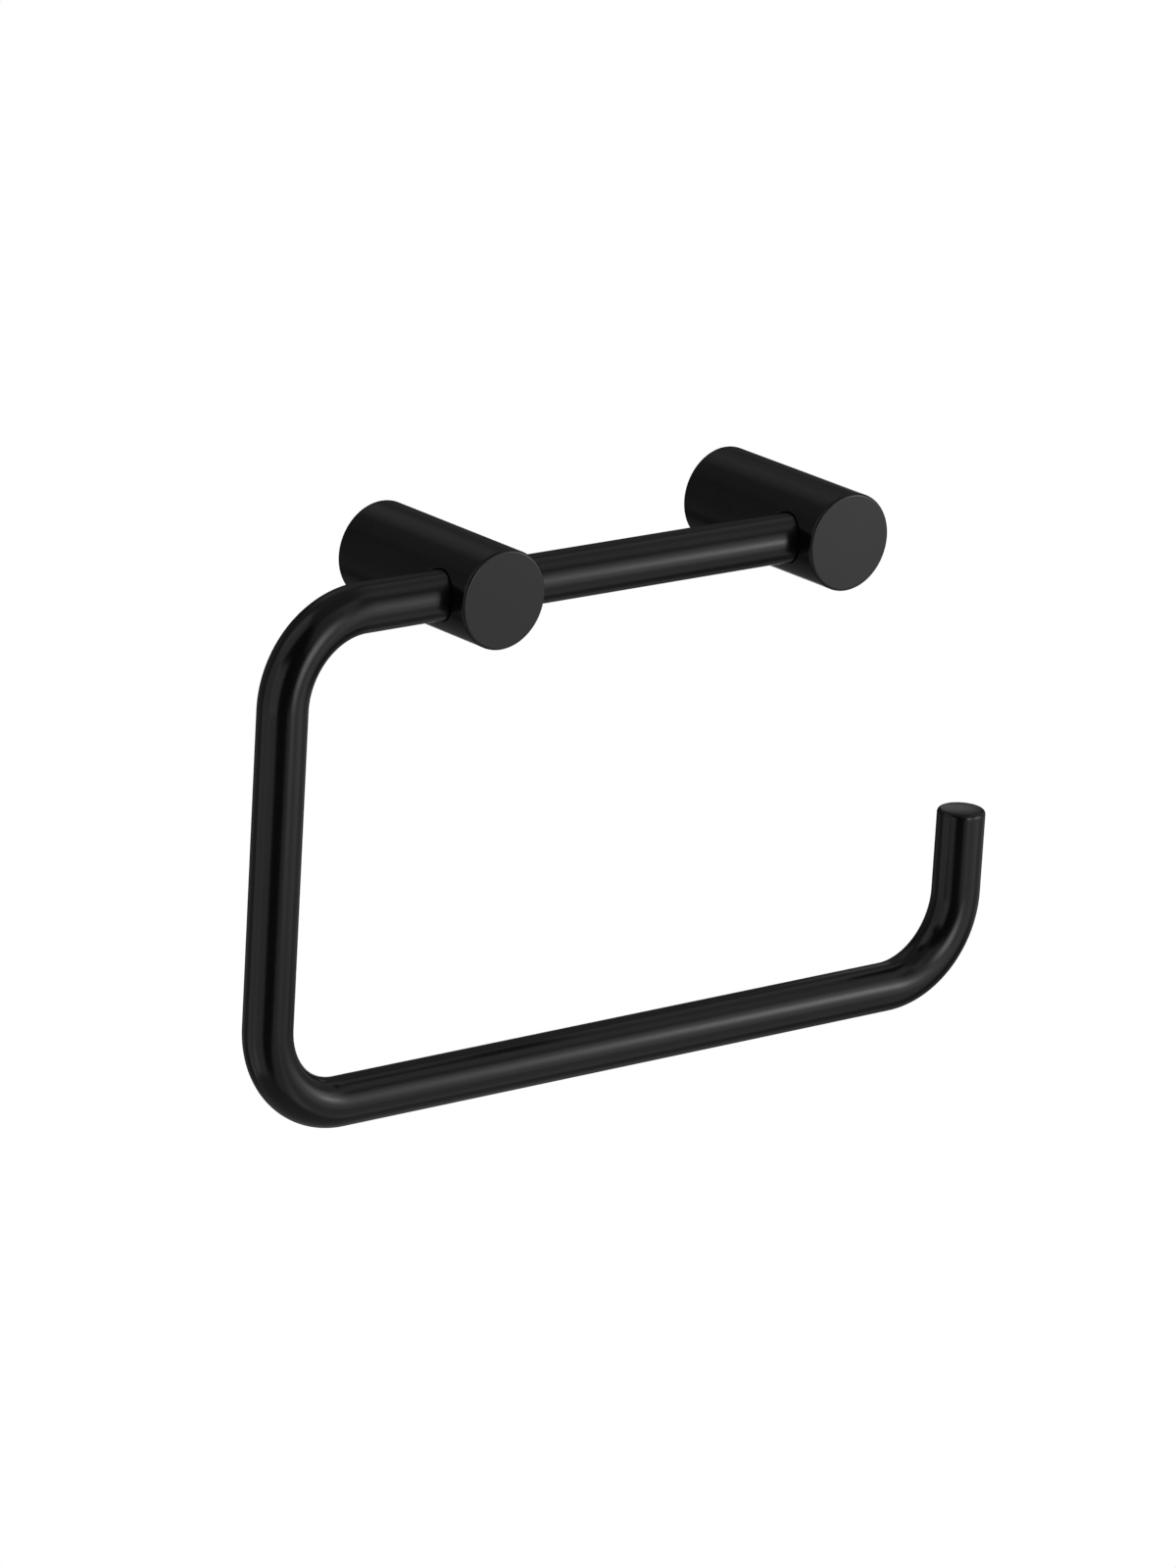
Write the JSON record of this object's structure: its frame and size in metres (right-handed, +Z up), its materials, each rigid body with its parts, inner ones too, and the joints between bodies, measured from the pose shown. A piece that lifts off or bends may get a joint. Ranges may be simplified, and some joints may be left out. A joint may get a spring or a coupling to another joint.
{
  "type": "toilet paper holder",
  "caption": "Wall-mounted toilet roll holder: a bent round bar, open at one side, swings in two round posts that stand out of the wall.",
  "frame": {"origin": "on the wall plane, midway between the axes of the two posts", "axes": "+Y into the wall along the posts, +X to the right seen from the room, +Z up; the posts and the bar are at negative Y"},
  "size_m": [0.1855, 0.04, 0.115],
  "materials": {
    "black_coat": "semi-gloss black coating on brass",
    "zinc_plate": "bright zinc plate on turned steel",
    "black_oxide": "oiled black oxide on steel",
    "seal_rubber": "dull black rubber"
  },
  "bodies": {
    "wall_posts": {"left_post": "black_coat", "right_post": "black_coat", "left_bracket": "zinc_plate", "right_bracket": "zinc_plate", "left_post_grub_screw": "black_oxide", "right_post_grub_screw": "black_oxide", "left_bar_retaining_screw": "black_oxide", "right_bar_retaining_screw": "black_oxide", "left_post_outer_o_ring": "seal_rubber", "left_post_inner_o_ring": "seal_rubber", "right_post_inner_o_ring": "seal_rubber", "right_post_outer_o_ring": "seal_rubber"},
    "bar": {"roll_bar": "black_coat"}
  },
  "joints": [
    {"name": "bar_swing", "type": "hinge", "parent": "wall_posts", "child": "bar", "pos_m": [0, -0.031, 0], "axis": [-1, 0, 0], "range_deg": [-15, 195]}
  ]
}
